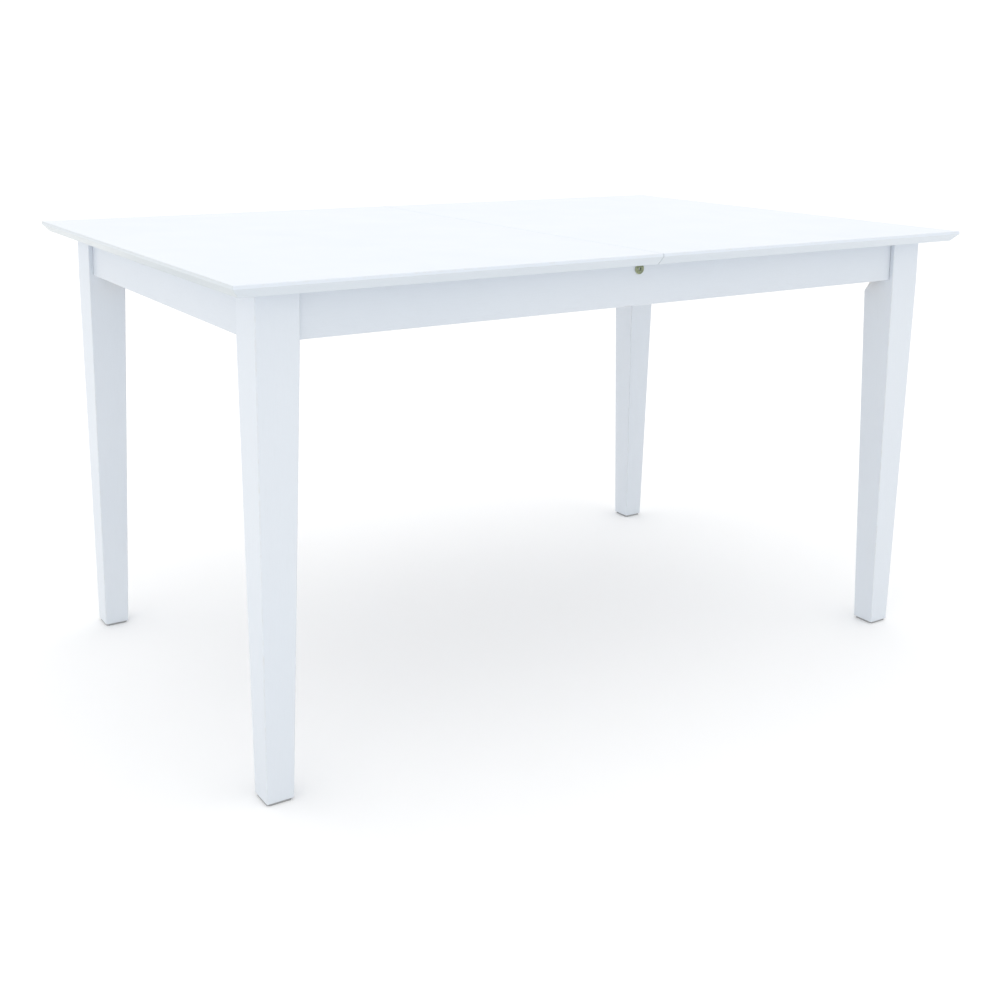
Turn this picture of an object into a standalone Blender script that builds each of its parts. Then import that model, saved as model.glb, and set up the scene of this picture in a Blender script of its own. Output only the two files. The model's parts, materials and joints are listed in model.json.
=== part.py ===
"""Extendable dining table.

A rectangular top in two halves runs on channel tracks over a fixed four-legged frame. The halves part at
the middle seam, and a spare leaf lies folded on two rails below it. Metres, +Z up, with the origin on the
floor under the middle of the table, X along its length and -Y at its front.
"""

import math

import bmesh
import bpy

# Whole table
LENGTH = 1.400
WIDTH = 0.900
HEIGHT = 0.750
TOUCH = 0.0003  # gap between pieces that touch

# Top
TOP_THICK = 0.018
TOP_BOTTOM = HEIGHT - TOP_THICK
EDGE_LAND = 0.005  # upright band at the top of the edge
EDGE_SLOPE_IN = 0.012  # how far the bevel under it runs in
EDGE_ROUND = 0.0022
SEAM_ARRIS = 0.0005
CORNER_RADIUS = 0.003

# Frame
OVERHANG = 0.050  # of the top past the legs
LEG_TOP = 0.065  # square, as far down as the aprons' lower edge
LEG_FOOT = 0.042
LEG_ARRIS = 0.0012
LEG_X = LENGTH / 2 - OVERHANG - LEG_TOP / 2
LEG_Y = WIDTH / 2 - OVERHANG - LEG_TOP / 2
FRAME_TOP = TOP_BOTTOM - 0.002
APRON_BOTTOM = 0.661
APRON_THICK = 0.020
APRON_INSET = 0.008  # from the legs' outer faces
APRON_ARRIS = 0.001
APRON_IN_X = LENGTH / 2 - OVERHANG - APRON_INSET - APRON_THICK
APRON_IN_Y = WIDTH / 2 - OVERHANG - APRON_INSET - APRON_THICK
GLIDE = 0.0395
GLIDE_THICK = 0.003
GLIDE_CORNER = 0.004
PAD_HALF = (0.006, 0.030)  # along X and Y, of the pads that the top slides over
PAD_Y = 0.150

# The leg's inner corner is cut off at the top: height, and how far along each face the cut runs
LEG_CUTS = ((0.6345, LEG_ARRIS), (0.6550, 0.0198))

# Corner joint, measured along the diagonal from the leg's middle
BLOCK_BOTTOM = 0.663
BLOCK_TOP = 0.706
BLOCK_NEAR = 0.0416
BLOCK_FAR = 0.0636
BOLT_Z = 0.685
LEG_BOLT_RADIUS = 0.004
LEG_BOLT_END = 0.0755
LEG_BOLT_TIP = (0.0025, 0.0030)  # length of its taper, and the radius at its end
LEG_NUT_RADIUS = 0.0075
LEG_NUT_THICK = 0.0065
FIT = 0.0003  # of a shank in its hole, on the radius

# Tracks and runners, in a section seen along the apron: inwards from its inner face, up from the middle
TRACK_Z = 0.7195
TRACK_HALF = 0.583
TRACK_DEPTH = 0.013
TRACK_RISE = 0.011
TRACK_WALL = 0.0016
TRACK_LIP = 0.0035
TONGUE = (0.0060, 0.0108)
TONGUE_RISE = 0.0085
NECK_RISE = 0.0060
WEB = (0.0136, 0.0160)
FLANGE_REACH = 0.0420
FLANGE_THICK = 0.0022
RUNNER_IN = 0.012  # end of a runner nearest the seam, with the table closed
RUNNER_OUT = 0.360
RUNNER_RISE = TOP_BOTTOM - TOUCH - TRACK_Z
STOP_LENGTH = 0.005
STOP_HALF = (0.0041, 0.0088)  # inwards and up
STOP_IN = 0.00665
TRACK_BOLT_RADIUS = 0.003
TRACK_BOLT_END = 0.0088
BOLT_HEAD_RADIUS = 0.0085
BOLT_HEAD_THICK = 0.002
BOLT_HEAD_ROUND = 0.0006
BOLT_SOCKET_RADIUS = 0.0023
BOLT_SOCKET_DEEP = 0.0028
TRACK_NUT_RADIUS = 0.0058
TRACK_NUT_SPAN = (0.0022, 0.0062)

# Spare leaf, folded in two face to face
LEAF_LENGTH = 0.400
LEAF_HALF_WIDTH = WIDTH / 2
REST_X = 0.150
REST_WIDE = 0.040
REST_BOTTOM = 0.662
REST_TOP = 0.6915
LEAF_BOTTOM = REST_TOP + TOUCH
LEAF_HINGE_X = 0.120
HINGE_BARREL_RADIUS = 0.005
HINGE_BARREL_DEPTH = 0.0155
HINGE_LINK = (0.012, 0.004)  # wide, thick

# Seam: dowels in the edges, and a lock under each side
DOWEL_RADIUS = 0.004
DOWEL_LEAD = 0.001
DOWEL_Z = TOP_BOTTOM + TOP_THICK / 2
DOWEL_IN = 0.020
DOWEL_OUT = 0.010
DOWEL_YS = {"front": -0.300, "middle": 0.0, "rear": 0.300}
LOCK_Y = 0.280
LOCK_PLATE_X = (-0.060, -0.006)
LOCK_KEEPER_X = (0.005, 0.045)
LOCK_PLATE_HALF = 0.016
LOCK_PLATE_THICK = 0.003
PIVOT_X = -0.026
HOOK_REACH = 0.040  # from the pivot to the keeper's post
STUD_RADIUS = 0.004
POST_RADIUS = 0.003
LOCK_HEAD_RADIUS = 0.0065
LEVER_TOP = 0.7282
LEVER_THICK = 0.003
LEVER_HALF = 0.009
HOOK_PLAY = 0.0008
HOOK_RIM = 0.0045  # metal outside the slot
HOOK_HEEL = 7  # degrees of metal behind the slot
LOCK_HEAD_TOP = 0.7249
LOCK_HEAD_THICK = 0.002

CORNERS = {  # sign of X, sign of Y, turn that points the leg's inner corner at the middle of the table
    "front_left": (-1, -1, 0),
    "front_right": (1, -1, math.pi / 2),
    "rear_right": (1, 1, math.pi),
    "rear_left": (-1, 1, -math.pi / 2),
}
SIDES = {"front": (-1, 0), "rear": (1, math.pi)}  # sign of Y, turn
ENDS = {"left": -1, "right": 1}

FINISHES = {  # colour, roughness, metallic
    "white_lacquer": ((0.86, 0.88, 0.90), 0.35, 0.0),
    "top_lacquer": ((0.92, 0.94, 0.96), 0.25, 0.0),
    "bare_wood": ((0.62, 0.46, 0.29), 0.65, 0.0),
    "zinc_steel": ((0.62, 0.63, 0.65), 0.35, 1.0),
    "old_brass": ((0.42, 0.34, 0.17), 0.38, 1.0),
    "nylon": ((0.80, 0.79, 0.74), 0.50, 0.0),
    "grey_glide": ((0.48, 0.49, 0.50), 0.70, 0.0),
}


def clear_scene():
    for thing in list(bpy.data.objects):
        bpy.data.objects.remove(thing, do_unlink=True)


def material(name, finish):
    colour, roughness, metallic = FINISHES[finish]
    made = bpy.data.materials.new(name)
    made.use_nodes = True
    shader = made.node_tree.nodes["Principled BSDF"]
    shader.inputs["Base Color"].default_value = (*colour, 1.0)
    shader.inputs["Roughness"].default_value = roughness
    shader.inputs["Metallic"].default_value = metallic
    made.diffuse_color = (*colour, 1.0)
    return made


def axis_empty(name, location):
    """The frame of a moving body, on its joint's axis."""
    empty = bpy.data.objects.new(name, None)
    empty.location = location
    bpy.context.collection.objects.link(empty)
    return empty


def add(name, shape, finish, location=(0, 0, 0), turn=0.0, body=None):
    """An object from a shape, placed in the world, under its body's empty if it moves."""
    mesh = bpy.data.meshes.new(name)
    shape.to_mesh(mesh)
    shape.free()
    mesh.materials.append(material(name, finish))
    piece = bpy.data.objects.new(name, mesh)
    bpy.context.collection.objects.link(piece)
    offset = body.location if body else (0, 0, 0)
    piece.parent = body
    piece.location = [place - start for place, start in zip(location, offset)]
    piece.rotation_euler.z = turn
    return piece


def helper(name, shape, location=(0, 0, 0), turn=0.0, body=None):
    """A hidden shape that cuts or joins another."""
    piece = add(name, shape, "zinc_steel", location, turn, body)
    piece.hide_render = True
    piece.display_type = "WIRE"
    return piece


def combine(piece, other, operation):
    step = piece.modifiers.new(other.name, "BOOLEAN")
    step.operation = operation
    step.solver = "EXACT"
    step.object = other


def soften(piece, width):
    """Rounds a piece's arrises."""
    step = piece.modifiers.new("arris", "BEVEL")
    step.width = width
    step.segments = 2
    step.limit_method = "ANGLE"


def shade_round(piece):
    piece.data.shade_smooth()
    piece.data.set_sharp_from_angle(angle=math.radians(40))


def from_rings(rings):
    """A closed shape through rings with the same number of points."""
    shape = bmesh.new()
    loops = [[shape.verts.new(point) for point in ring] for ring in rings]
    shape.faces.new(loops[0])
    shape.faces.new(loops[-1])
    for one, other in zip(loops, loops[1:]):
        for i, j in zip(range(len(one)), list(range(1, len(one))) + [0]):
            shape.faces.new((one[i], one[j], other[j], other[i]))
    bmesh.ops.recalc_face_normals(shape, faces=shape.faces)
    return shape


def along(axis, a, b, distance):
    """The point at (a, b) of a section that stands across an axis."""
    return {"x": (distance, a, b), "y": (a, distance, b), "z": (a, b, distance)}[axis]


def prism(outline, low, high, axis="z"):
    return from_rings([[along(axis, a, b, end) for a, b in outline] for end in (low, high)])


def box(low, high):
    (x0, y0, z0), (x1, y1, z1) = low, high
    return prism(((x0, y0), (x1, y0), (x1, y1), (x0, y1)), z0, z1)


def ring_of(radius, sides):
    turns = [2 * math.pi * (i + 0.5) / sides for i in range(sides)]
    return [(radius * math.cos(turn), radius * math.sin(turn)) for turn in turns]


def turned(profile, axis, sides=20):
    """A turned shape: profile is (radius, distance along the axis) from one end to the other."""
    rings = [(ring_of(radius, sides), end) for radius, end in profile]
    return from_rings([[along(axis, a, b, end) for a, b in ring] for ring, end in rings])


def rod(radius, low, high, axis, sides=16):
    return turned(((radius, low), (radius, high)), axis, sides)


# Legs and their corner joints, each about the leg's middle line with the table's middle towards +X +Y


def leg_ring(z, cut):
    """Eight points round the leg, with the inner corner cut off."""
    taper = min(1.0, z / APRON_BOTTOM)
    half = (LEG_FOOT + (LEG_TOP - LEG_FOOT) * taper) / 2
    edge = half - LEG_ARRIS
    inner = half - cut
    outline = (
        (-edge, -half), (edge, -half), (half, -edge), (half, inner),
        (inner, half), (-edge, half), (-half, edge), (-half, -edge),
    )
    return [(x, y, z) for x, y in outline]


def leg_shape():
    foot = (GLIDE_THICK + TOUCH, LEG_ARRIS)
    top = (FRAME_TOP, LEG_CUTS[-1][1])
    return from_rings([leg_ring(z, cut) for z, cut in (foot, *LEG_CUTS, top)])


def block_shape():
    """A brace across the corner, mitred against both aprons."""
    corner = APRON_IN_X - LEG_X  # the aprons' inner faces meet this far outside the leg's middle
    face = TOUCH - corner
    near = BLOCK_NEAR * math.sqrt(2)
    far = BLOCK_FAR * math.sqrt(2)
    outline = ((near - face, face), (far - face, face), (face, far - face), (face, near - face))
    return prism(outline, BLOCK_BOTTOM, BLOCK_TOP)


def glide_shape():
    half = GLIDE / 2
    edge = half - GLIDE_CORNER
    outline = (
        (-edge, -half), (edge, -half), (half, -edge), (half, edge),
        (edge, half), (-edge, half), (-half, edge), (-half, -edge),
    )
    return prism(outline, 0, GLIDE_THICK)


def leg_bolt_shape():
    taper, tip = LEG_BOLT_TIP
    profile = ((LEG_BOLT_RADIUS, 0), (LEG_BOLT_RADIUS, LEG_BOLT_END - taper), (tip, LEG_BOLT_END))
    return turned(profile, "x", 16)


def leg_nut_shape():
    start = BLOCK_FAR + TOUCH
    return prism(ring_of(LEG_NUT_RADIUS, 6), start, start + LEG_NUT_THICK, "x")


def add_corner(name, x_sign, y_sign, turn):
    foot = (x_sign * LEG_X, y_sign * LEG_Y, 0)
    bolt = (x_sign * LEG_X, y_sign * LEG_Y, BOLT_Z)
    diagonal = turn + math.pi / 4
    hole_radius = LEG_BOLT_RADIUS + FIT
    leg = add(f"leg_{name}", leg_shape(), "white_lacquer", foot, turn)
    block = add(f"corner_block_{name}", block_shape(), "bare_wood", foot, turn)
    nut = add(f"leg_nut_{name}", leg_nut_shape(), "zinc_steel", bolt, diagonal)
    hole = helper(f"leg_hole_{name}", rod(hole_radius, -TOUCH, LEG_BOLT_END, "x"), bolt, diagonal)
    for piece in (leg, block, nut):
        combine(piece, hole, "DIFFERENCE")
    shade_round(add(f"leg_bolt_{name}", leg_bolt_shape(), "zinc_steel", bolt, diagonal))
    add(f"foot_glide_{name}", glide_shape(), "grey_glide", foot, turn)


# Aprons


def add_long_apron(side, y_sign, turn):
    end = LEG_X - LEG_TOP / 2 - TOUCH
    shape = box((-end, -APRON_THICK, APRON_BOTTOM), (end, 0, FRAME_TOP))
    apron = add(f"apron_{side}", shape, "white_lacquer", (0, y_sign * APRON_IN_Y, 0), turn)
    soften(apron, APRON_ARRIS)
    return apron


def add_end_apron(end, x_sign):
    reach = LEG_Y - LEG_TOP / 2 - TOUCH
    half = APRON_THICK / 2
    shape = box((-half, -reach, APRON_BOTTOM), (half, reach, FRAME_TOP))
    apron = add(f"apron_{end}", shape, "white_lacquer", (x_sign * (APRON_IN_X + half), 0, 0))
    soften(apron, APRON_ARRIS)
    for side, (y_sign, _) in SIDES.items():
        pad = box((-PAD_HALF[0], -PAD_HALF[1], TOUCH), (*PAD_HALF, TOP_BOTTOM - TOUCH - FRAME_TOP))
        place = (x_sign * (APRON_IN_X + half), y_sign * PAD_Y, FRAME_TOP)
        add(f"slide_pad_{side}_{end}", pad, "nylon", place)


# Tracks on the long aprons, in a frame on the apron's inner face with the table's middle towards +Y


def track_outline():
    """A channel open towards the middle of the table, with its lips turned in."""
    back, front, rise, wall, lip = TOUCH, TRACK_DEPTH, TRACK_RISE, TRACK_WALL, TRACK_LIP
    lower = (
        (back, -rise), (front, -rise), (front, lip - rise),
        (front - wall, lip - rise), (front - wall, wall - rise), (back + wall, wall - rise),
    )
    return lower + tuple((y, -z) for y, z in reversed(lower))


def runner_outline():
    """A tongue that fills the channel, a neck through its mouth, and a flange under the top."""
    back, front = TONGUE
    near, far = WEB
    rise, neck, under = TONGUE_RISE, NECK_RISE, RUNNER_RISE - FLANGE_THICK
    return (
        (back, -rise), (front, -rise), (front, -neck), (near, -neck), (near, -rise),
        (far, -rise), (far, under), (FLANGE_REACH, under), (FLANGE_REACH, RUNNER_RISE),
        (near, RUNNER_RISE), (near, neck), (front, neck), (front, rise), (back, rise),
    )


def track_bolt_shape():
    face = -APRON_THICK - TOUCH
    crown = face - BOLT_HEAD_THICK
    head, shank, soft = BOLT_HEAD_RADIUS, TRACK_BOLT_RADIUS, BOLT_HEAD_ROUND
    profile = (
        (head - soft, crown), (head, crown + soft), (head, face),
        (shank, face), (shank, TRACK_BOLT_END - soft), (shank - soft, TRACK_BOLT_END),
    )
    return turned(profile, "y", 32)


def add_track(side, y_sign, turn, apron):
    place = (0, y_sign * APRON_IN_Y, TRACK_Z)
    channel = prism(track_outline(), -TRACK_HALF, TRACK_HALF, "x")
    track = add(f"slide_track_{side}", channel, "zinc_steel", place, turn)
    nut_shape = prism(ring_of(TRACK_NUT_RADIUS, 6), *TRACK_NUT_SPAN, "y")
    nut = add(f"track_nut_{side}", nut_shape, "zinc_steel", place, turn)
    drill = rod(TRACK_BOLT_RADIUS + FIT, -1.5 * APRON_THICK, TRACK_DEPTH, "y")
    hole = helper(f"track_hole_{side}", drill, place, turn)
    for piece in (apron, track, nut):
        combine(piece, hole, "DIFFERENCE")
    bolt = add(f"track_bolt_{side}", track_bolt_shape(), "old_brass", place, turn)
    shade_round(bolt)
    crown = -APRON_THICK - TOUCH - BOLT_HEAD_THICK
    socket = prism(ring_of(BOLT_SOCKET_RADIUS, 6), crown - BOLT_HEAD_THICK, crown + BOLT_SOCKET_DEEP, "y")
    combine(bolt, helper(f"bolt_socket_{side}", socket, place, turn), "DIFFERENCE")
    for end, x_sign in ENDS.items():
        high = (STOP_LENGTH / 2, *STOP_HALF)
        stop = box([-reach for reach in high], high)
        middle = TRACK_HALF - TOUCH - STOP_LENGTH / 2
        y = y_sign * (APRON_IN_Y - STOP_IN)
        add(f"track_stop_{side}_{end}", stop, "nylon", (x_sign * middle, y, TRACK_Z))


def add_runner(side, y_sign, turn, end, x_sign, body):
    half = (RUNNER_OUT - RUNNER_IN) / 2
    place = (x_sign * (RUNNER_IN + half), y_sign * APRON_IN_Y, TRACK_Z)
    add(f"{end}_runner_{side}", prism(runner_outline(), -half, half, "x"), "zinc_steel", place, turn, body)


# Top


def panel_ring(z, inset, arris):
    """One level of a half top with its seam at X = 0: three outer edges move in together."""
    far = LENGTH / 2 - inset
    side = WIDTH / 2 - inset
    seam = TOUCH + arris
    radius = max(CORNER_RADIUS - inset, SEAM_ARRIS)
    turns = [step * math.pi / 8 for step in range(5)]
    corner = [(radius * math.sin(turn), radius * math.cos(turn)) for turn in turns]
    rear = [(-far + radius - x, side - radius + y) for x, y in corner]
    front = [(x, -y) for x, y in reversed(rear)]
    return [(x, y, z) for x, y in ((-seam, side), *rear, *front, (-seam, -side))]


def panel_shape():
    """The left half: a bevel up to an upright band, and a rounded upper arris."""
    levels = (
        (TOP_BOTTOM, EDGE_SLOPE_IN, 0),
        (HEIGHT - EDGE_LAND, 0, 0),
        (HEIGHT - EDGE_ROUND, 0, 0),
        (HEIGHT - EDGE_ROUND / 3, EDGE_ROUND / 3, 0),
        (HEIGHT, EDGE_ROUND, SEAM_ARRIS),
    )
    return from_rings([panel_ring(*level) for level in levels])


def add_panel(end, turn, depth, body):
    """depth is how far the dowel holes go in from the seam."""
    panel = add(f"{end}_top_panel", panel_shape(), "top_lacquer", (0, 0, 0), turn, body)
    for name, y in DOWEL_YS.items():
        drill = rod(DOWEL_RADIUS + FIT, -depth - TOUCH, DOWEL_RADIUS, "x")
        combine(panel, helper(f"{end}_dowel_hole_{name}", drill, (0, y, DOWEL_Z), turn, body), "DIFFERENCE")


def dowel_shape():
    radius, lead = DOWEL_RADIUS, DOWEL_LEAD
    start = ((radius - lead, -DOWEL_IN), (radius, lead - DOWEL_IN))
    end = ((radius, DOWEL_OUT - lead), (radius - lead, DOWEL_OUT))
    return turned(start + end, "x", 16)


# Seam locks


def pin_shape(radius):
    """A headed pin that hangs from its plate."""
    under = TOP_BOTTOM - TOUCH - LOCK_PLATE_THICK / 2
    head, top = LOCK_HEAD_RADIUS, LOCK_HEAD_TOP
    return turned(((head, top - LOCK_HEAD_THICK), (head, top), (radius, top), (radius, under)), "z", 20)


def add_lock_plate(name, x_range, pin_x, pin_radius, y, body):
    top = TOP_BOTTOM - TOUCH
    low = (x_range[0], -LOCK_PLATE_HALF, top - LOCK_PLATE_THICK)
    plate = add(name, box(low, (x_range[1], LOCK_PLATE_HALF, top)), "zinc_steel", (0, y, 0), 0, body)
    combine(plate, helper(f"{name}_pin", pin_shape(pin_radius), (pin_x, y, 0), 0, body), "UNION")


def arc(middle, radius, start, stop, steps):
    turns = [math.radians(start + (stop - start) * step / steps) for step in range(steps + 1)]
    return [(middle[0] + radius * math.cos(turn), middle[1] + radius * math.sin(turn)) for turn in turns]


def hook_outline():
    """The lever locked along +X: a round root at the pivot, and a slot that swings over the keeper's post."""
    half_slot = POST_RADIUS + HOOK_PLAY
    root = arc((0, 0), LEVER_HALF, 90, 270, 10)
    floor = -math.degrees(half_slot / HOOK_REACH)
    mouth = math.degrees(LEVER_HALF / HOOK_REACH)
    outside = arc((0, 0), HOOK_REACH + half_slot + HOOK_RIM, floor - HOOK_HEEL, mouth, 5)
    slot_far = arc((0, 0), HOOK_REACH + half_slot, mouth, floor, 5)
    slot_near = arc((0, 0), HOOK_REACH - half_slot, floor, mouth, 5)
    return root + outside + slot_far + slot_near


def add_lock_lever(side, y_sign, body):
    """At rest the arm points at the middle of the table. A quarter turn takes its hook across the seam."""
    outline = [(y, -y_sign * x) for x, y in hook_outline()]
    place = (PIVOT_X, y_sign * LOCK_Y, 0)
    shape = prism(outline, LEVER_TOP - LEVER_THICK, LEVER_TOP)
    lever = add(f"lock_lever_{side}", shape, "old_brass", place, 0, body)
    drill = rod(STUD_RADIUS + FIT, LEVER_TOP - 2 * LEVER_THICK, LEVER_TOP + LEVER_THICK, "z", 20)
    combine(lever, helper(f"lever_eye_{side}", drill, place, 0, body), "DIFFERENCE")


# Spare leaf


def leaf_outline(face_up):
    """A section across the leaf's half: folded edge at +Y, outer edge bevelled like the top's."""
    half = LEAF_HALF_WIDTH / 2
    section = (
        (EDGE_SLOPE_IN - half, 0), (half, 0), (half, TOP_THICK), (EDGE_ROUND - half, TOP_THICK),
        (-half, TOP_THICK - EDGE_ROUND), (-half, TOP_THICK - EDGE_LAND),
    )
    return section if face_up else [(y, TOP_THICK - z) for y, z in section]


def shifted(outline, rise):
    return [(a, b + rise) for a, b in outline]


def hinge_shape(z):
    """One of the two barrels of a hinge, from inside the edge into its link."""
    edge = LEAF_HALF_WIDTH / 2
    reach = edge + TOUCH + HINGE_LINK[1] / 2
    return prism(shifted(ring_of(HINGE_BARREL_RADIUS, 16), z), edge - HINGE_BARREL_DEPTH, reach, "y")


def add_leaf():
    step = TOP_THICK + TOUCH
    half = LEAF_LENGTH / 2
    barrel_zs = (TOP_THICK / 2, step + TOP_THICK / 2)
    halves = {"lower": (0, True), "upper": (step, False)}
    pieces = {}
    for name, (rise, face_up) in halves.items():
        shape = prism(leaf_outline(face_up), -half, half, "x")
        pieces[name] = add(f"leaf_half_{name}", shape, "top_lacquer", (0, 0, LEAF_BOTTOM + rise))
    edge = LEAF_HALF_WIDTH / 2
    for end, x_sign in ENDS.items():
        place = (x_sign * LEAF_HINGE_X, 0, LEAF_BOTTOM)
        low = (-HINGE_LINK[0] / 2, edge + TOUCH, barrel_zs[0] - HINGE_LINK[0] / 2)
        high = (HINGE_LINK[0] / 2, edge + TOUCH + HINGE_LINK[1], barrel_zs[1] + HINGE_LINK[0] / 2)
        hinge = add(f"leaf_hinge_{end}", box(low, high), "old_brass", place)
        for piece, z in zip(pieces.values(), barrel_zs):
            name = f"{piece.name}_{end}"
            combine(hinge, helper(f"{name}_barrel", hinge_shape(z), place), "UNION")
            hole = shifted(ring_of(HINGE_BARREL_RADIUS + FIT, 16), z)
            drill = prism(hole, edge - HINGE_BARREL_DEPTH - TOUCH, edge + HINGE_LINK[1], "y")
            combine(piece, helper(f"{name}_hole", drill, place), "DIFFERENCE")


def add_leaf_rest(end, x_sign):
    reach = APRON_IN_Y - TOUCH
    shape = box((-REST_WIDE / 2, -reach, REST_BOTTOM), (REST_WIDE / 2, reach, REST_TOP))
    soften(add(f"leaf_rest_{end}", shape, "bare_wood", (x_sign * REST_X, 0, 0)), APRON_ARRIS)


def build():
    clear_scene()
    left = axis_empty("left_top_slide", (0, 0, TOP_BOTTOM))
    right = axis_empty("right_top_slide", (0, 0, TOP_BOTTOM))
    for name, (x_sign, y_sign, turn) in CORNERS.items():
        add_corner(name, x_sign, y_sign, turn)
    for end, x_sign in ENDS.items():
        add_end_apron(end, x_sign)
        add_leaf_rest(end, x_sign)
    for side, (y_sign, turn) in SIDES.items():
        add_track(side, y_sign, turn, add_long_apron(side, y_sign, turn))
        add_runner(side, y_sign, turn, "left", -1, left)
        add_runner(side, y_sign, turn, "right", 1, right)
        y = y_sign * LOCK_Y
        add_lock_plate(f"lock_plate_{side}", LOCK_PLATE_X, PIVOT_X, STUD_RADIUS, y, left)
        add_lock_plate(f"lock_keeper_{side}", LOCK_KEEPER_X, PIVOT_X + HOOK_REACH, POST_RADIUS, y, right)
        add_lock_lever(side, y_sign, axis_empty(f"lock_lever_{side}_turn", (PIVOT_X, y, LEVER_TOP)))
    add_leaf()
    add_panel("left", 0, DOWEL_IN, left)
    add_panel("right", math.pi, DOWEL_OUT, right)
    for name, y in DOWEL_YS.items():
        shade_round(add(f"seam_dowel_{name}", dowel_shape(), "bare_wood", (0, y, DOWEL_Z), 0, left))


build()
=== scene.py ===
"""Looks for the extendable dining table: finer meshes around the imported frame, procedural materials, a pale
floor and soft studio light. Metres, in the CAD's own frame."""

import json
import math

import bmesh
import bpy
from mathutils import Matrix, Vector


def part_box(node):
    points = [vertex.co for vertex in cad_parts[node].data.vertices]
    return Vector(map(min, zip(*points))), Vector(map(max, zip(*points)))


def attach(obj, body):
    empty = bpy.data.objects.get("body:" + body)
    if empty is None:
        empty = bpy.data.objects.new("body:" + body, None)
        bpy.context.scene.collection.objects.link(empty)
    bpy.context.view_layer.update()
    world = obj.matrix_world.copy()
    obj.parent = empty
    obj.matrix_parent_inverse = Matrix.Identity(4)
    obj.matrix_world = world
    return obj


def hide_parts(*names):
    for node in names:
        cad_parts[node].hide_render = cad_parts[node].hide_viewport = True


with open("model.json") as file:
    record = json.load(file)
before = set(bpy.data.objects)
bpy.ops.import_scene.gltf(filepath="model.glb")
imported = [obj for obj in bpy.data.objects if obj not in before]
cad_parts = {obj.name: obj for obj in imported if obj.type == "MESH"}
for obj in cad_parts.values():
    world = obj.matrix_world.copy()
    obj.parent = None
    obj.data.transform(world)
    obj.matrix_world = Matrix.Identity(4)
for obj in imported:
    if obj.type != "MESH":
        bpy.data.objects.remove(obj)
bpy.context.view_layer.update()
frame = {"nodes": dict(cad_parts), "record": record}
RECORD = frame["record"]
BODY_OF = {node: body for body, nodes in RECORD["behaviour"]["bodies"].items() for node in nodes}

CORNERS = {"front_left": (-1, -1), "front_right": (1, -1), "rear_right": (1, 1), "rear_left": (-1, 1)}
SIDES = {"front": -1, "rear": 1}
ENDS = {"left": -1, "right": 1}
DOWELS = ("front", "middle", "rear")

# Edge of the top
LAND = 0.005
SLOPE_IN = 0.012
TOP_ROUND = 0.0022
LAND_ROUND = 0.0012
SLOPE_ROUND = 0.0010
PLAN_RADIUS = 0.0035
SEAM_ROUND = 0.0007
SEAM_SIDE_ROUND = 0.0010

# Legs
LEG_FOOT_HALF = 0.021
LEG_TOP_HALF = 0.0325
LEG_TAPER_TOP = 0.661
LEG_ROUND = 0.0018
LEG_CUT = 0.0198
LEG_CUT_START = 0.6345
LEG_CUT_END = 0.6550
FOOT_ARRIS = 0.0010
LEG_SHAFT = (0.03, 0.15, 0.30, 0.45, 0.58)  # levels between the foot arris and the cut
LEG_SOFT = 0.0012  # of the two arrises beside the cut
LEG_NARROW = 0.0009  # a face of a leg narrower than this is an arris

# Aprons and plain fixings
APRON_ROUND = 0.0012
ARRIS_ANGLE = 25  # degrees between two faces, past which their edge is rounded

# Dowels and their holes
DOWEL_RADIUS = 0.00398
DOWEL_FLUTES = 18
DOWEL_FLUTE_DEEP = 0.00022
DOWEL_HOLE = 0.0042
DOWEL_HOLE_DEEP = {"left": 0.0206, "right": 0.0108}
PAST_SEAM = 0.004  # how far a cutter reaches out of the seam's face

# Hanger bolts
LEG_BOLT_LENGTH = 0.0755
LEG_BOLT_RADIUS = 0.0039
LEG_BOLT_TIP = (0.0009, 0.0003)  # how much narrower each end is, and how long its taper
THREAD_PITCH = 0.00125
THREAD_DEPTH = 0.00065
THREAD_STEPS = 6  # rings to one turn of the thread

# Track bolts
BOLT_HEAD_THICK = 0.002
BOLT_SHANK = 0.003
BOLT_SOCKET = 0.0023
BOLT_SOCKET_DEEP = 0.0028

# Screws
SCREW_HEAD = 0.0034
SCREW_PROUD = 0.0007
SCREW_TURN = (0.7, 1.9)  # how far the first is turned, and each next one more, in radians
RUNNER_SCREWS = (0.08, 0.36, 0.64, 0.92)  # shares of a runner's length
TRACK_SCREWS = (0.04, 0.2, 0.36, 0.64, 0.8, 0.96)
LOCK_SCREWS = (-0.0095, 0.0095)  # either side of a plate's middle
FLANGE_IN = 0.012  # from a runner's outer side to its screws
FLANGE_THICK = 0.0022
LOCK_END = 0.008  # from a plate's far end to its screws
LOCK_THICK = 0.003
TRACK_WEB = 0.0016
DOWN = Vector((0, 0, -1))


# Shapes


def fillet(points, radii, steps, closed=True):
    """A polyline with its corners turned into arcs of the radii given, one for each point."""
    rounded = []
    count = len(points)
    for i, (point, radius) in enumerate(zip(points, radii)):
        at_end = not closed and i in (0, count - 1)
        here = Vector(point)
        if at_end or radius <= 0:
            rounded += [here] * (1 if at_end else steps + 1)
            continue
        back = (Vector(points[i - 1]) - here).normalized()
        ahead = (Vector(points[(i + 1) % count]) - here).normalized()
        half = back.angle(ahead) / 2
        reach = radius / math.tan(half)
        middle = here + (back + ahead).normalized() * radius / math.sin(half)
        start = here + back * reach - middle
        end = here + ahead * reach - middle
        swing = start.angle(end)
        for step in range(steps + 1):
            share = step / steps
            weights = [math.sin(part * swing) / math.sin(swing) for part in (1 - share, share)]
            rounded.append(middle + start * weights[0] + end * weights[1])
    return rounded


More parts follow.
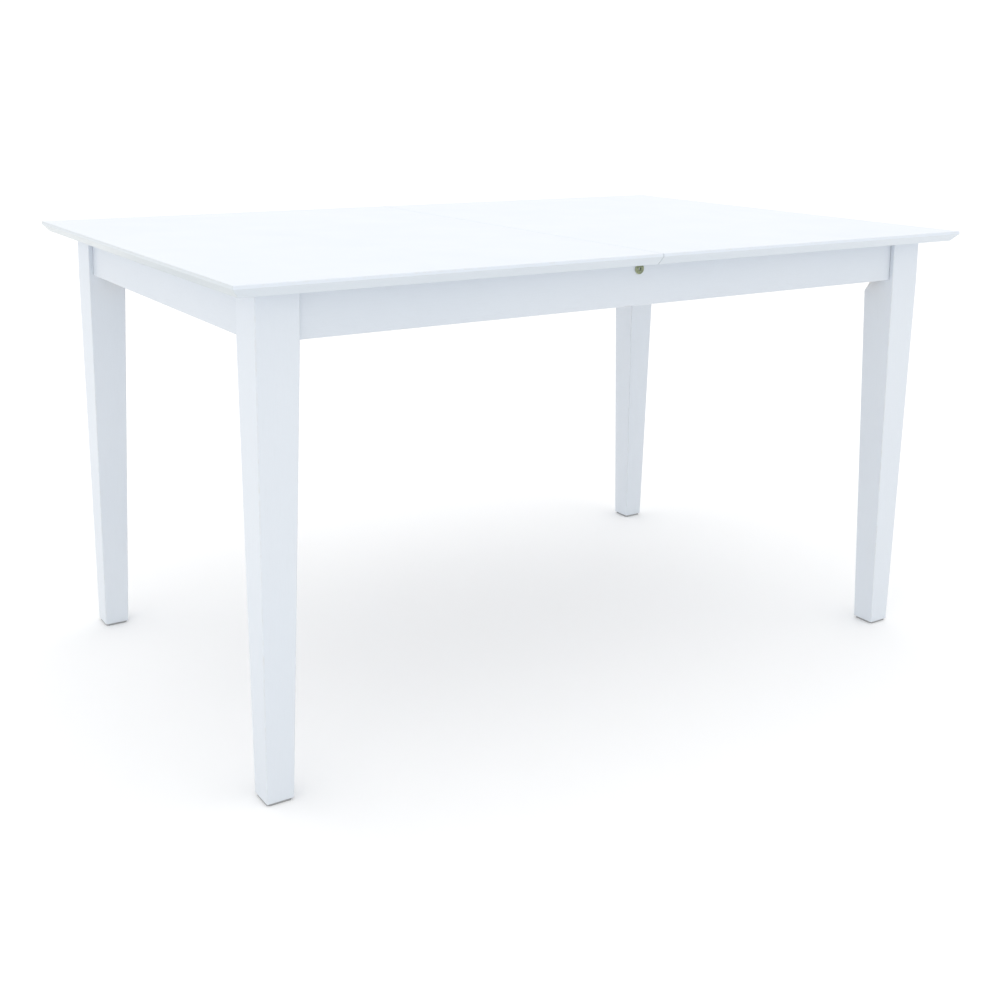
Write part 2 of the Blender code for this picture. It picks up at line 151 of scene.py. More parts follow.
def loft(rings, worn=()):
    """A closed shape through matching rings. worn numbers the bands between them that are arrises."""
    shape = bmesh.new()
    arris = shape.faces.layers.float.new("arris")
    loops = [[shape.verts.new(point) for point in ring] for ring in rings]
    shape.faces.new(loops[0])
    shape.faces.new(loops[-1])
    for band, (one, other) in enumerate(zip(loops, loops[1:])):
        for i in range(len(one)):
            j = (i + 1) % len(one)
            face = shape.faces.new((one[i], one[j], other[j], other[i]))
            face[arris] = 1.0 if band in worn else 0.0
    bmesh.ops.recalc_face_normals(shape, faces=shape.faces)
    return shape


def mark_edge_shade(shape):
    """Marks a board's side faces for painted shade, greyer and warmer: most on the bevel that faces down and
    on the end faces.
    """
    edge = shape.faces.layers.float.new("edge")
    shape.normal_update()
    for face in shape.faces:
        across, along, up = (abs(value) for value in face.normal)
        # painted shade, darkest where a face looks down and on the end faces
        facing_down_shade = 0.42 if face.normal.z < -0.3 else 0.10
        end_face_shade = 0.52 if across > along else 0.0
        face[edge] = facing_down_shade + end_face_shade if up < 0.9 else 0.0


def mark_small(shape, width):
    """Calls a face an arris where one of its sides is narrow and it isn't square."""
    arris = shape.faces.layers.float["arris"]
    for face in shape.faces:
        lengths = sorted(edge.calc_length() for edge in face.edges)
        if len(lengths) == 4 and lengths[0] < width:
            face[arris] = 1.0


def round_arrises(shape, width, segments=3):
    """Rounds every arris of a faceted shape, and marks the new faces."""
    arris = shape.faces.layers.float.get("arris") or shape.faces.layers.float.new("arris")
    limit = math.radians(ARRIS_ANGLE)
    edges = [edge for edge in shape.edges if len(edge.link_faces) == 2 and edge.calc_face_angle() > limit]
    made = bmesh.ops.bevel(
        shape, geom=edges, offset=width, segments=segments, profile=0.5, affect="EDGES", clamp_overlap=True
    )
    for face in made["faces"]:
        face[arris] = 1.0
    return shape


def block(low, high, width, segments=4):
    """A solid block with rounded arrises."""
    shape = bmesh.new()
    shape.faces.layers.float.new("arris")
    size = high - low
    place = Matrix.Translation((low + high) / 2) @ Matrix.Diagonal((*size, 1))
    bmesh.ops.create_cube(shape, size=1, matrix=place)
    return round_arrises(shape, width, segments)


def facets_of(node):
    """A CAD node's shape with its flat faces whole again."""
    shape = bmesh.new()
    shape.from_mesh(frame["nodes"][node].data)
    shape.faces.layers.float.new("arris")
    bmesh.ops.remove_doubles(shape, verts=shape.verts, dist=2e-6)
    bmesh.ops.dissolve_limit(shape, angle_limit=math.radians(0.6), verts=shape.verts, edges=shape.edges)
    return shape


def axis_turn(axis):
    """Turns +Z to the axis named."""
    return {
        "x": Matrix.Rotation(math.pi / 2, 4, "Y"),
        "y": Matrix.Rotation(-math.pi / 2, 4, "X"),
        "z": Matrix.Identity(4),
    }[axis]


def turned(profile, sides, worn=(), ripple=None):
    """A turned shape about Z: profile is (radius, height). ripple changes the radius round each ring."""
    rings = []
    for radius, height in profile:
        ring = []
        for i in range(sides):
            angle = 2 * math.pi * i / sides
            reach = radius + (ripple(angle, height, radius) if ripple else 0.0)
            ring.append((reach * math.cos(angle), reach * math.sin(angle), height))
        rings.append(ring)
    return loft(rings, worn)


def placed(shape, *steps):
    """Moves a shape by the matrices given, the first one first."""
    for step in steps:
        bmesh.ops.transform(shape, matrix=step, verts=shape.verts)
    return shape


def object_from(name, shape, smooth_up_to=40):
    """An object of the shape, shaded smooth but for the corners sharper than the angle given."""
    mesh = bpy.data.meshes.new(name)
    shape.to_mesh(mesh)
    shape.free()
    mesh.shade_smooth()
    mesh.set_sharp_from_angle(angle=math.radians(smooth_up_to))
    piece = bpy.data.objects.new(name, mesh)
    bpy.context.scene.collection.objects.link(piece)
    return piece


def cut_from(piece, cutters):
    """Cuts the shapes out of a piece, and leaves only the finished mesh."""
    helpers = [object_from(f"cutter_{i}", cutter) for i, cutter in enumerate(cutters)]
    for other in helpers:
        step = piece.modifiers.new(other.name, "BOOLEAN")
        step.operation = "DIFFERENCE"
        step.solver = "EXACT"
        step.object = other
    graph = bpy.context.evaluated_depsgraph_get()
    graph.update()
    finished = bpy.data.meshes.new_from_object(piece.evaluated_get(graph))
    piece.modifiers.clear()
    piece.data = finished
    for other in helpers:
        bpy.data.objects.remove(other, do_unlink=True)
    return piece


def finish_piece(name, piece, material):
    """Gives a piece its material and even shading on its flat faces."""
    piece.data.materials.clear()
    piece.data.materials.append(material)
    even = piece.modifiers.new("even_normals", "WEIGHTED_NORMAL")
    even.keep_sharp = True
    piece.name = name
    return piece


def stand_for(node, piece, material):
    """Shows a finer piece in place of a CAD node, on the same body."""
    finish_piece(f"fine_{node}", piece, material)
    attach(piece, BODY_OF[node])
    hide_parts(node)
    return piece


# Materials

# One white lacquer in three brightnesses: the top's lighter, bluer copy is painted light, the aprons' darker
# copy is painted shade from the overhang, and the legs' copy lies between
TOP_WHITE_PAINTED_LIGHT = (0.704, 0.758, 0.832)
APRON_WHITE_PAINTED_SHADE = (0.658, 0.703, 0.756)
LEG_WHITE = (0.684, 0.728, 0.780)
# painted shade on the side faces of the boards, set by which way each face looks
EDGE_SHADE_TINT = (0.775, 0.785, 0.735)
CLOUD_TINT = (0.978, 0.984, 0.990)
RUBBED_WHITE = (0.60, 0.585, 0.54)
BEECH = ((0.66, 0.47, 0.29), (0.42, 0.26, 0.14))  # light, dark


class Nodes:
    """Short calls for building one material's nodes."""

    def __init__(self, name):
        self.material = bpy.data.materials.new(name)
        self.material.use_nodes = True
        self.tree = self.material.node_tree
        self.shader = self.tree.nodes["Principled BSDF"]

    def link(self, source, target):
        self.tree.links.new(source, target)

    def put(self, kind, **settings):
        node = self.tree.nodes.new(kind)
        for key, value in settings.items():
            setattr(node, key, value)
        return node

    def place(self, scale):
        """The piece's own coordinates, stretched."""
        where = self.put("ShaderNodeTexCoord")
        mapping = self.put("ShaderNodeMapping")
        mapping.inputs["Scale"].default_value = scale
        self.link(where.outputs["Object"], mapping.inputs["Vector"])
        return mapping.outputs["Vector"]

    def noise(self, scale, detail=4.0, rough=0.55, twist=0.0, stretch=(1, 1, 1)):
        node = self.put("ShaderNodeTexNoise")
        node.inputs["Scale"].default_value = scale
        node.inputs["Detail"].default_value = detail
        node.inputs["Roughness"].default_value = rough
        node.inputs["Distortion"].default_value = twist
        self.link(self.place(stretch), node.inputs["Vector"])
        return node.outputs["Fac"]

    def spread(self, value, low, high, to_low=0.0, to_high=1.0):
        node = self.put("ShaderNodeMapRange")
        for key, number in zip(("From Min", "From Max", "To Min", "To Max"), (low, high, to_low, to_high)):
            node.inputs[key].default_value = number
        self.link(value, node.inputs["Value"])
        return node.outputs["Result"]

    def maths(self, operation, one, other):
        node = self.put("ShaderNodeMath", operation=operation)
        for socket, value in zip(node.inputs, (one, other)):
            if isinstance(value, (int, float)):
                socket.default_value = value
            else:
                self.link(value, socket)
        return node.outputs["Value"]

    def mix(self, share, one, other):
        """One colour into another by share; each is a colour or a socket."""
        node = self.put("ShaderNodeMix", data_type="RGBA")
        self.link(share, node.inputs["Factor"])
        for key, value in (("A", one), ("B", other)):
            socket = next(s for s in node.inputs if s.name == key and s.type == "RGBA")
            if isinstance(value, tuple):
                socket.default_value = (*value, 1.0)
            else:
                self.link(value, socket)
        return next(s for s in node.outputs if s.type == "RGBA")

    def mark(self, name):
        """The marks stored on the faces: arris, and edge for painted shade."""
        return self.put("ShaderNodeAttribute", attribute_name=name).outputs["Fac"]

    def arris(self):
        return self.mark("arris")

    def bump(self, height, depth, strength=1.0, under=None):
        node = self.put("ShaderNodeBump")
        node.inputs["Strength"].default_value = strength
        node.inputs["Distance"].default_value = depth
        self.link(height, node.inputs["Height"])
        if under:
            self.link(under, node.inputs["Normal"])
        return node.outputs["Normal"]

    def set(self, **values):
        for key, value in values.items():
            socket = self.shader.inputs[key.replace("_", " ")]
            if isinstance(value, (int, float)):
                socket.default_value = value
            elif isinstance(value, tuple):
                socket.default_value = (*value, 1.0)
            else:
                self.link(value, socket)


def lacquer(name, colour, gloss, grain_axis, coat=0.25):
    """Sprayed white lacquer: a trace of grain, orange peel, smudges, edges greyed by painted shade and rubbed
    arrises.
    """
    n = Nodes(name)
    stretch = [1.0, 1.0, 1.0]
    stretch["xyz".index(grain_axis)] = 0.04
    grain = n.noise(900.0, 5.0, 0.6, 0.15, tuple(stretch))
    cloud = n.noise(3.1, 3.0)
    smudge = n.noise(9.0, 3.0, 0.5, 0.3)
    peel = n.noise(330.0, 1.0, 0.4)
    shade = tuple(c * s for c, s in zip(colour, CLOUD_TINT))
    base = n.mix(n.spread(cloud, 0.35, 0.65), shade, colour)
    lined = n.mix(n.spread(grain, 0.5, 0.75, 0.0, 0.22), base, tuple(c * 0.88 for c in colour))
    # painted shade: side faces greyer, most on the bevel that faces down and on the end faces
    edge_shaded = n.mix(n.mark("edge"), lined, tuple(c * s for c, s in zip(colour, EDGE_SHADE_TINT)))
    worn = n.spread(n.noise(90.0, 5.0, 0.7), 0.42, 0.72, 0.0, 0.34)
    rub = n.maths("MULTIPLY", n.arris(), worn)
    n.set(Base_Color=n.mix(rub, edge_shaded, RUBBED_WHITE))
    rough = n.spread(smudge, 0.25, 0.75, gloss, gloss + 0.08)
    n.set(Roughness=n.maths("ADD", rough, n.maths("MULTIPLY", rub, 0.35)))
    n.shader.inputs["Coat Weight"].default_value = coat
    n.shader.inputs["Coat Roughness"].default_value = 0.16
    n.set(Normal=n.bump(peel, 0.00002, 0.35))
    return n.material


def bare_wood(name, light, dark, grain_axis):
    """Planed hardwood: growth rings, fibres, pores and slightly darker worn arrises."""
    n = Nodes(name)
    stretch = [1.0, 1.0, 1.0]
    stretch["xyz".index(grain_axis)] = 0.05
    rings = n.put("ShaderNodeTexWave", wave_type="BANDS", bands_direction="DIAGONAL", wave_profile="SIN")
    rings.inputs["Scale"].default_value = 38.0
    rings.inputs["Distortion"].default_value = 7.0
    rings.inputs["Detail"].default_value = 3.0
    rings.inputs["Detail Scale"].default_value = 0.8
    n.link(n.place(tuple(stretch)), rings.inputs["Vector"])
    fibre = n.noise(520.0, 6.0, 0.65, 0.2, tuple(stretch))
    pores = n.noise(1500.0, 3.0, 0.5, 0.0, tuple(stretch))
    patch = n.noise(7.0, 3.0)
    middle = tuple((a + b) / 2 for a, b in zip(light, dark))
    ground = n.mix(n.spread(rings.outputs["Fac"], 0.1, 0.95), light, middle)
    lined = n.mix(n.spread(fibre, 0.45, 0.75, 0.0, 0.6), ground, dark)
    pitted = n.mix(n.spread(pores, 0.62, 0.75, 0.0, 0.55), lined, tuple(c * 0.55 for c in dark))
    aged = n.mix(n.spread(patch, 0.35, 0.7, 0.0, 0.25), pitted, dark)
    n.set(Base_Color=n.mix(n.maths("MULTIPLY", n.arris(), 0.3), aged, tuple(c * 0.7 for c in dark)))
    n.set(Roughness=n.spread(fibre, 0.3, 0.7, 0.52, 0.72))
    deep = n.bump(fibre, 0.00018, 0.6)
    n.set(Normal=n.bump(pores, 0.00008, 0.5, deep))
    return n.material


def zinc(name, grain_axis):
    """Zinc-plated steel: rolled lines, cloudy plating and brighter arrises."""
    n = Nodes(name)
    stretch = [1.0, 1.0, 1.0]
    stretch["xyz".index(grain_axis)] = 0.02
    lines = n.noise(900.0, 5.0, 0.7, 0.0, tuple(stretch))
    cloud = n.noise(60.0, 4.0, 0.6, 1.2)
    tint = n.mix(n.spread(cloud, 0.3, 0.7), (0.52, 0.54, 0.57), (0.66, 0.66, 0.64))
    lined = n.mix(n.spread(lines, 0.5, 0.8, 0.0, 0.35), tint, (0.34, 0.35, 0.37))
    n.set(Base_Color=n.mix(n.maths("MULTIPLY", n.arris(), 0.45), lined, (0.80, 0.80, 0.79)))
    n.set(Metallic=1.0, Roughness=n.spread(cloud, 0.3, 0.7, 0.28, 0.46))
    n.set(Normal=n.bump(lines, 0.00004, 0.5))
    return n.material


def brass(name, bright, patina_share):
    """Antiqued brass: olive-black patina in patches, rubbed through to brighter metal on the arrises."""
    n = Nodes(name)
    patina = n.noise(260.0, 6.0, 0.7, 0.6)
    speck = n.noise(1400.0, 3.0, 0.6)
    dull = tuple(c * (1 - patina_share) * k for c, k in zip(bright, (0.75, 0.90, 1.0)))
    body = n.mix(n.spread(patina, 0.34, 0.66), dull, tuple(c * (1 - 0.5 * patina_share) for c in bright))
    flecked = n.mix(n.spread(speck, 0.6, 0.74, 0.0, 0.5), body, (0.05, 0.06, 0.04))
    rub = n.maths("MULTIPLY", n.arris(), n.spread(patina, 0.35, 0.6, 0.25, 0.9))
    n.set(Base_Color=n.mix(rub, flecked, bright))
    n.set(Metallic=n.spread(patina, 0.3, 0.7, 0.72, 1.0))
    n.set(Roughness=n.spread(patina, 0.3, 0.7, 0.5, 0.3))
    n.set(Normal=n.bump(speck, 0.00003, 0.6))
    return n.material


def moulded(name, colour, scuff, roughness):
    """Moulded plastic: fine spark texture, faint colour drift and scuffed arrises."""
    n = Nodes(name)
    spark = n.noise(2600.0, 2.0, 0.5)
    drift = n.noise(45.0, 3.0)
    base = n.mix(n.spread(drift, 0.3, 0.7), tuple(c * 0.9 for c in colour), colour)
    rub = n.maths("MULTIPLY", n.arris(), n.spread(n.noise(300.0, 4.0), 0.4, 0.65, 0.1, 0.7))
    n.set(Base_Color=n.mix(rub, base, scuff))
    n.set(Roughness=n.spread(drift, 0.3, 0.7, roughness - 0.06, roughness + 0.06))
    n.set(Normal=n.bump(spark, 0.00005, 0.6))
    return n.material


MATERIALS = {
    # the top's white carries painted light and the aprons' white carries painted shade
    "top": lacquer("top_lacquer_painted_light_x", TOP_WHITE_PAINTED_LIGHT, 0.29, "x", 0.35),
    "frame_x": lacquer("apron_lacquer_painted_shade_x", APRON_WHITE_PAINTED_SHADE, 0.33, "x"),
    "frame_y": lacquer("apron_lacquer_painted_shade_y", APRON_WHITE_PAINTED_SHADE, 0.33, "y"),
    "frame_z": lacquer("frame_lacquer_z", LEG_WHITE, 0.33, "z"),
    "wood_x": bare_wood("beech_x", *BEECH, "x"),
    "wood_y": bare_wood("beech_y", *BEECH, "y"),
    "zinc_x": zinc("zinc_x", "x"),
    "zinc_z": zinc("zinc_z", "z"),
    "brass": brass("antique_brass", (0.60, 0.50, 0.26), 0.55),
    "dark_brass": brass("dark_brass", (0.43, 0.46, 0.29), 0.54),
    "nylon": moulded("nylon", (0.78, 0.77, 0.71), (0.60, 0.59, 0.55), 0.48),
    "glide": moulded("grey_glide", (0.34, 0.35, 0.355), (0.46, 0.46, 0.45), 0.72),
}


# Top


def edge_levels(low, high):
    """(height, inset) up the edge of the top, and which bands between them are arrises."""
    far_in = 0.03
    corners = ((far_in, low), (SLOPE_IN, low), (0.0, high - LAND), (0.0, high), (far_in, high))
    radii = (0, SLOPE_ROUND, LAND_ROUND, TOP_ROUND, 0)
    steps = 5
    path = fillet([(inset, 0.0, height) for inset, height in corners], radii, steps, closed=False)
    levels = [(point.z, point.x) for point in path]
    worn = set()
    for corner in range(3):
        worn.update(range(1 + corner * (steps + 1), (corner + 1) * (steps + 1)))
    return levels, worn


def seam_step(height, low, high):
    """How far the seam's face is rounded away at this height."""
    depth = max(SEAM_ROUND - (high - height), SEAM_ROUND - (height - low), 0.0)
    return SEAM_ROUND - math.sqrt(max(SEAM_ROUND**2 - depth**2, 0.0))


def panel_shape(end):
    """Half a top: three moulded edges, and a seam face with a fine arris."""
    low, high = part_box(f"{end}_top_panel")
    sign = ENDS[end]
    seam = low.x if sign > 0 else high.x
    far = high.x if sign > 0 else low.x
    levels, worn = edge_levels(low.z, high.z)
    rings = []
    for height, inset in levels:
        inner = seam + sign * seam_step(height, low.z, high.z)
        outer = far - sign * inset
        side = high.y - inset
        corners = (inner, -side), (outer, -side), (outer, side), (inner, side)
        outline = [(x, y, height) for x, y in corners]
        plan = max(PLAN_RADIUS - inset, 0.0006)
        rings.append(fillet(outline, (SEAM_SIDE_ROUND, plan, plan, SEAM_SIDE_ROUND), 6))
    shape = loft(rings, worn)
    mark_edge_shade(shape)
    return shape


def hole(radius, start, end, axis):
    """A round cutter along an axis, before it is moved to its place."""
    return placed(turned(((radius, start), (radius, end)), 32), axis_turn(axis))


def make_top():
    for end, sign in ENDS.items():
        piece = object_from("top", panel_shape(end), 50)
        span = sorted((sign * DOWEL_HOLE_DEEP[end], -sign * PAST_SEAM))
        cutters = []
        for name in DOWELS:
            low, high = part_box(f"seam_dowel_{name}")
            middle = (low + high) / 2
            spot = Matrix.Translation((0, middle.y, middle.z))
            cutters.append(placed(hole(DOWEL_HOLE, *span, "x"), spot))
        stand_for(f"{end}_top_panel", cut_from(piece, cutters), MATERIALS["top"])


def make_dowels():
    """Fluted beech dowels."""

    def flutes(angle, height, radius):
        deep = DOWEL_FLUTE_DEEP if radius == DOWEL_RADIUS else 0.0
        return -deep * (0.5 + 0.5 * math.cos(DOWEL_FLUTES * angle))

    for name in DOWELS:
        node = f"seam_dowel_{name}"
        low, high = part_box(node)
        lead = ((0.0028, 0.0), (0.0035, 0.0005), (DOWEL_RADIUS, 0.0013))
        profile = [(radius, low.x + step) for radius, step in lead]
        profile += [(radius, high.x - step) for radius, step in reversed(lead)]
        middle = (low + high) / 2
        shape = placed(turned(profile, 72, (0, 1, 3, 4), flutes), axis_turn("x"))
        placed(shape, Matrix.Translation((0, middle.y, middle.z)))
        stand_for(node, object_from("dowel", shape), MATERIALS["wood_x"])


# Frame


def leg_ring(height, x_sign, y_sign, middle, shrink=0.0):
    """One level of a leg: three rounded corners, and an inner corner cut off near the top."""
    taper = min(1.0, height / LEG_TAPER_TOP)
    half = LEG_FOOT_HALF + (LEG_TOP_HALF - LEG_FOOT_HALF) * taper - shrink
    share = min(max((height - LEG_CUT_START) / (LEG_CUT_END - LEG_CUT_START), 0.0), 1.0)
    cut = LEG_ROUND * 0.6 + (LEG_CUT - LEG_ROUND * 0.6) * share
    outline = ((-half, -half), (half, -half), (half, half - cut), (half - cut, half), (-half, half))
    soft = min(LEG_SOFT, cut * 0.8)
    points = fillet([(x, y, 0.0) for x, y in outline], (LEG_ROUND, LEG_ROUND, soft, soft, LEG_ROUND), 5)
    return [(middle.x - x_sign * p.x, middle.y - y_sign * p.y, height) for p in points]


def leg_heights(low, high):
    """The levels of a leg between its two end arrises."""
    run_out = [LEG_CUT_START + (LEG_CUT_END - LEG_CUT_START) * step / 6 for step in range(7)]
    return [low + FOOT_ARRIS, *LEG_SHAFT, *run_out, high - FOOT_ARRIS]


def make_legs():
    for corner, (x_sign, y_sign) in CORNERS.items():
        node = f"leg_{corner}"
        low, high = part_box(node)
        middle = (low + high) / 2
        rings = []
        for share in (0.0, 0.25, 0.6):
            arc = FOOT_ARRIS * (1 - math.sqrt(1 - (1 - share) ** 2))
            rings.append(leg_ring(low.z + FOOT_ARRIS * share, x_sign, y_sign, middle, arc))
        rings += [leg_ring(height, x_sign, y_sign, middle) for height in leg_heights(low.z, high.z)]
        rings.append(leg_ring(high.z, x_sign, y_sign, middle, FOOT_ARRIS / 2))
        shape = loft(rings, (0, 1, 2, len(rings) - 2))
        mark_small(shape, LEG_NARROW)
        stand_for(node, object_from("leg", shape, 50), MATERIALS["frame_z"])


def make_aprons():
    for name in ("front", "rear", "left", "right"):
        node = f"apron_{name}"
        low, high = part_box(node)
        material = MATERIALS["frame_x" if name in SIDES else "frame_y"]
        stand_for(node, object_from("apron", block(low, high, APRON_ROUND), 50), material)


# Plain fixings, rounded from the CAD's own shapes

ROUNDED = {  # start of the node's name: arris width, material
    "corner_block": (0.0012, "wood_x"),
    "leaf_rest": (0.0014, "wood_y"),
    "leaf_half": (0.0008, "top"),
    "leaf_hinge": (0.0006, "brass"),
    "leg_nut": (0.0005, "zinc_z"),
    "track_nut": (0.0004, "zinc_z"),
    "slide_track": (0.0005, "zinc_x"),
    "left_runner": (0.0004, "zinc_x"),
    "right_runner": (0.0004, "zinc_x"),
    "lock_plate": (0.0004, "zinc_x"),
    "lock_keeper": (0.0004, "zinc_x"),
    "lock_lever": (0.0005, "brass"),
    "track_stop": (0.0005, "nylon"),
    "slide_pad": (0.0004, "nylon"),
    "foot_glide": (0.0006, "glide"),
}


def make_rounded():
    for node in sorted(frame["nodes"]):
        start = next((key for key in ROUNDED if node.startswith(key)), None)
        if start:
            width, material = ROUNDED[start]
            shape = round_arrises(facets_of(node), width)
            mark_edge_shade(shape)
            stand_for(node, object_from("rounded", shape, 50), MATERIALS[material])


# Threaded and headed fixings


def thread(angle, height, radius):
    """The V of a right-hand thread, cut into a shank."""
    phase = (height / THREAD_PITCH - angle / (2 * math.pi)) % 1.0
    return -THREAD_DEPTH * abs(2 * phase - 1)


def make_leg_bolts():
    """Hanger bolts along each corner's diagonal."""
    lead = 0.001
    narrower, tip = LEG_BOLT_TIP
    count = int((LEG_BOLT_LENGTH - 2 * lead) / THREAD_PITCH * THREAD_STEPS)
    shank = [(LEG_BOLT_RADIUS, lead + THREAD_PITCH * i / THREAD_STEPS) for i in range(count + 1)]
    ends = [(LEG_BOLT_RADIUS - narrower, height) for height in (tip, LEG_BOLT_LENGTH - tip)]
    profile = [ends[0], *shank, ends[1]]
    for corner, (x_sign, y_sign) in CORNERS.items():
        node = f"leg_bolt_{corner}"
        low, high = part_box(node)
        inward = Vector((-x_sign, -y_sign, 0)).normalized()
        foot = (low + high) / 2 - inward * LEG_BOLT_LENGTH / 2
        turn = Matrix.Rotation(math.atan2(inward.y, inward.x), 4, "Z")
        shape = placed(turned(profile, 20, (), thread), axis_turn("x"), turn, Matrix.Translation(foot))
        stand_for(node, object_from("bolt", shape, 60), MATERIALS["zinc_z"])


def make_track_bolts():
    """A flat brass head with a hexagonal socket, on the outer face of each long apron."""
    for side, y_sign in SIDES.items():
        node = f"track_bolt_{side}"
        low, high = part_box(node)
        radius = (high.x - low.x) / 2
        thick = BOLT_HEAD_THICK
        long = high.y - low.y
        dome = [(radius * share, -0.00025 * share**2) for share in (0.25, 0.5, 0.7, 0.84)]
        brim = [(radius - 0.0006, -0.00022), (radius - 0.00028, -0.00035), (radius - 0.00008, -0.0006)]
        head = [*dome, *brim, (radius, -0.0009), (radius, 0.0002 - thick), (radius - 0.0002, -thick)]
        shank = [(BOLT_SHANK, -thick - 0.0001), (BOLT_SHANK, 0.0006 - long), (BOLT_SHANK - 0.0008, -long)]
        shape = turned([*head, *shank], 64, (4, 5, 6, 7, 9))
        face_y = low.y if y_sign < 0 else high.y
        outward = Matrix.Rotation(math.pi / 2 if y_sign < 0 else -math.pi / 2, 4, "X")
        spot = Matrix.Translation(((low.x + high.x) / 2, face_y, (low.z + high.z) / 2))
        socket = turned(((BOLT_SOCKET, -BOLT_SOCKET_DEEP), (BOLT_SOCKET, 0.001)), 6)
        head_and_shank = object_from("bolt", placed(shape, outward, spot), 35)
        piece = cut_from(head_and_shank, [placed(socket, outward, spot)])
        stand_for(node, piece, MATERIALS["dark_brass"])


def screw_mesh():
    """A low pan-head screw with a cross recess. Its head's outer face looks along +Z, from Z = 0 up."""
    top = SCREW_PROUD
    profile = (
        (SCREW_HEAD, -0.0001), (SCREW_HEAD, top * 0.45), (SCREW_HEAD * 0.93, top * 0.8),
        (SCREW_HEAD * 0.8, top * 0.96), (SCREW_HEAD * 0.4, top * 1.12),
    )
    piece = object_from("screw", turned(profile, 28, (1, 2)), 35)
    arm, half = SCREW_HEAD * 0.55, SCREW_HEAD * 0.12
    arms = []
    for size in ((arm, half), (half, arm)):
        low = Vector((-size[0], -size[1], top * 0.25))
        high = Vector((size[0], size[1], top * 2))
        arms.append(block(low, high, 0.00008, 1))
    cut_from(piece, arms)
    mesh = piece.data
    bpy.data.objects.remove(piece, do_unlink=True)
    return mesh


def add_screws(name, mesh, places, body):
    """One piece of several screws. places holds each head's seat and the way it faces."""
    shape = bmesh.new()
    for i, (seat, facing) in enumerate(places):
        turn = facing.to_track_quat("Z", "Y").to_matrix().to_4x4()
        spin = Matrix.Rotation(SCREW_TURN[0] + SCREW_TURN[1] * i, 4, "Z")
        start = len(shape.verts)
        shape.from_mesh(mesh)
        shape.verts.ensure_lookup_table()
        new = shape.verts[start:]
        bmesh.ops.transform(shape, matrix=Matrix.Translation(seat) @ turn @ spin, verts=new)
    piece = finish_piece(name, object_from(name, shape, 35), MATERIALS["zinc_z"])
    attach(piece, body)


def add_runner_screws(mesh, side, y_sign):
    for end in ENDS:
        low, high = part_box(f"{end}_runner_{side}")
        y = (high.y if y_sign < 0 else low.y) + y_sign * FLANGE_IN
        xs = [low.x + (high.x - low.x) * share for share in RUNNER_SCREWS]
        seats = [(Vector((x, y, high.z - FLANGE_THICK)), DOWN) for x in xs]
        add_screws(f"{end}_runner_screws_{side}", mesh, seats, f"{end}_top")


def add_lock_screws(mesh, side):
    for start, body in (("lock_plate", "left_top"), ("lock_keeper", "right_top")):
        low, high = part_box(f"{start}_{side}")
        x = low.x + LOCK_END if body == "left_top" else high.x - LOCK_END
        ys = [(low.y + high.y) / 2 + across for across in LOCK_SCREWS]
        seats = [(Vector((x, y, high.z - LOCK_THICK)), DOWN) for y in ys]
        add_screws(f"{start}_{side}_screws", mesh, seats, body)


def add_track_screws(mesh, side, y_sign):
    low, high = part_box(f"slide_track_{side}")
    y = (low.y if y_sign < 0 else high.y) - y_sign * TRACK_WEB
    xs = [low.x + (high.x - low.x) * share for share in TRACK_SCREWS]
    seats = [(Vector((x, y, (low.z + high.z) / 2)), Vector((0, -y_sign, 0))) for x in xs]
    add_screws(f"slide_track_screws_{side}", mesh, seats, "frame")


def make_screws():
    mesh = screw_mesh()
    for side, y_sign in SIDES.items():
        add_runner_screws(mesh, side, y_sign)
        add_lock_screws(mesh, side)
        add_track_screws(mesh, side, y_sign)


# Studio

FLOOR_HALF = 40.0
WORLD_STRENGTH = 1.08
OVERHEAD = (0.32, 70)  # strength, and how wide it is in degrees
WINDOW_POWER = 2.3

CAMERA_LENS = 47.6
CAMERA_SHIFT = (0.02, -0.20)
CAMERA_PLACE = (-1.322, -1.984, 0.998)
CAMERA_TURN = (32.80, 9.15, 0.64)  # heading, dip and roll in degrees


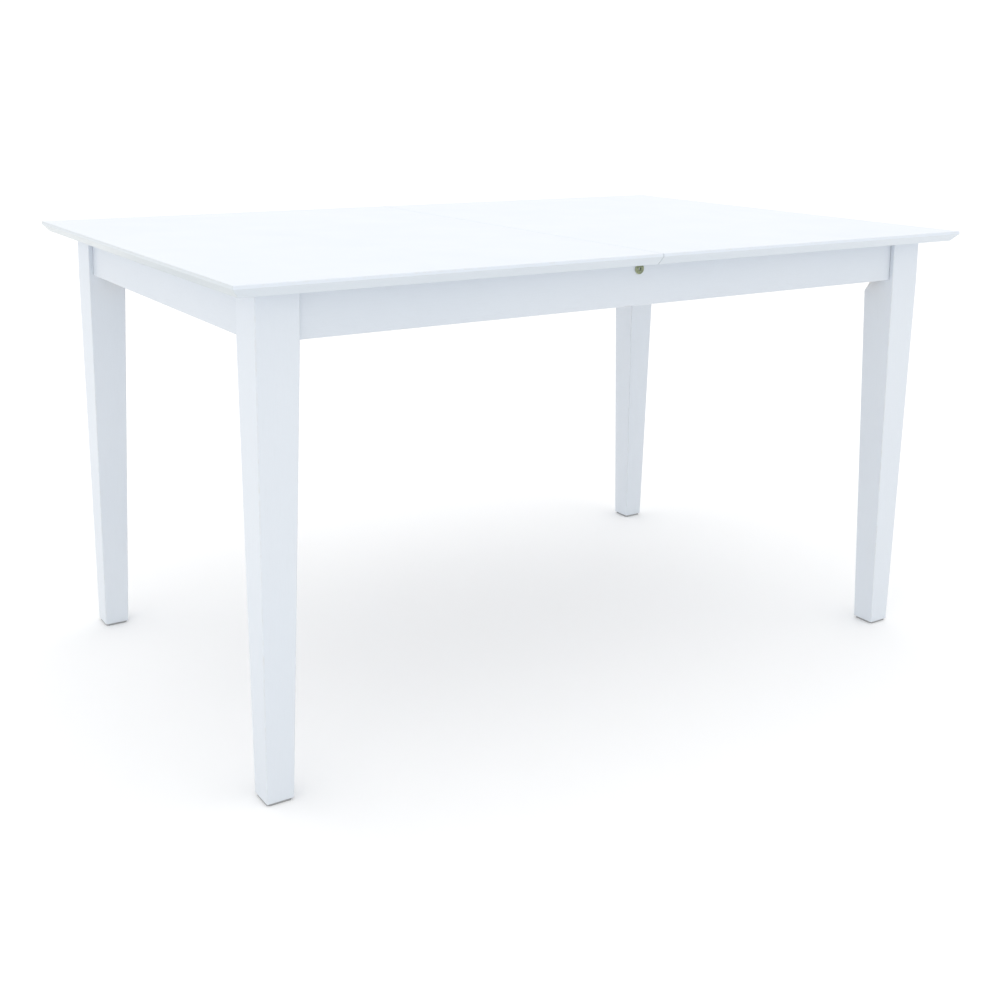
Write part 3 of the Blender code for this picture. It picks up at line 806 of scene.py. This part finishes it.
def make_floor():
    shape = bmesh.new()
    bmesh.ops.create_grid(shape, x_segments=8, y_segments=8, size=FLOOR_HALF)
    floor = object_from("studio_floor", shape)
    n = Nodes("pale_floor")
    tone = n.mix(n.spread(n.noise(0.6, 2.0), 0.3, 0.7), (0.955, 0.955, 0.955), (0.97, 0.97, 0.97))
    n.set(Base_Color=tone, Roughness=0.85)
    n.shader.inputs["Specular IOR Level"].default_value = 0.15
    floor.data.materials.append(n.material)


def area_light(name, place, target, size, power):
    data = bpy.data.lights.new(name, "AREA")
    data.shape = "RECTANGLE"
    data.size, data.size_y = size
    data.energy = power
    light = bpy.data.objects.new(name, data)
    light.location = place
    light.rotation_euler = (Vector(target) - Vector(place)).to_track_quat("-Z", "Y").to_euler()
    bpy.context.scene.collection.objects.link(light)


def make_light():
    world = bpy.data.worlds.new("studio")
    world.use_nodes = True
    ground = world.node_tree.nodes["Background"]
    ground.inputs["Color"].default_value = (1.0, 1.0, 1.0, 1.0)
    ground.inputs["Strength"].default_value = WORLD_STRENGTH
    bpy.context.scene.world = world
    sky = bpy.data.lights.new("overhead", "SUN")
    sky.energy = OVERHEAD[0]
    sky.angle = math.radians(OVERHEAD[1])
    overhead = bpy.data.objects.new("overhead", sky)
    bpy.context.scene.collection.objects.link(overhead)
    area_light("left_window", (-3.0, -1.0, 1.3), (0, 0, 0.45), (2.4, 1.8), WINDOW_POWER)
    bpy.context.scene.view_settings.view_transform = "Standard"


def make_camera():
    """Standing at the front left corner and looking slightly down."""
    data = bpy.data.cameras.new("camera")
    data.sensor_width = 36.0
    data.lens = CAMERA_LENS
    data.shift_x, data.shift_y = CAMERA_SHIFT
    camera = bpy.data.objects.new("camera", data)
    heading, dip, roll = (math.radians(angle) for angle in CAMERA_TURN)
    aim = Matrix.Rotation(-heading, 4, "Z") @ Matrix.Rotation(math.pi / 2 - dip, 4, "X")
    camera.matrix_world = Matrix.Translation(CAMERA_PLACE) @ aim @ Matrix.Rotation(roll, 4, "Z")
    bpy.context.scene.collection.objects.link(camera)
    bpy.context.scene.camera = camera


make_camera()
make_light()
make_floor()
make_top()
make_dowels()
make_legs()
make_aprons()
make_rounded()
make_leg_bolts()
make_track_bolts()
make_screws()
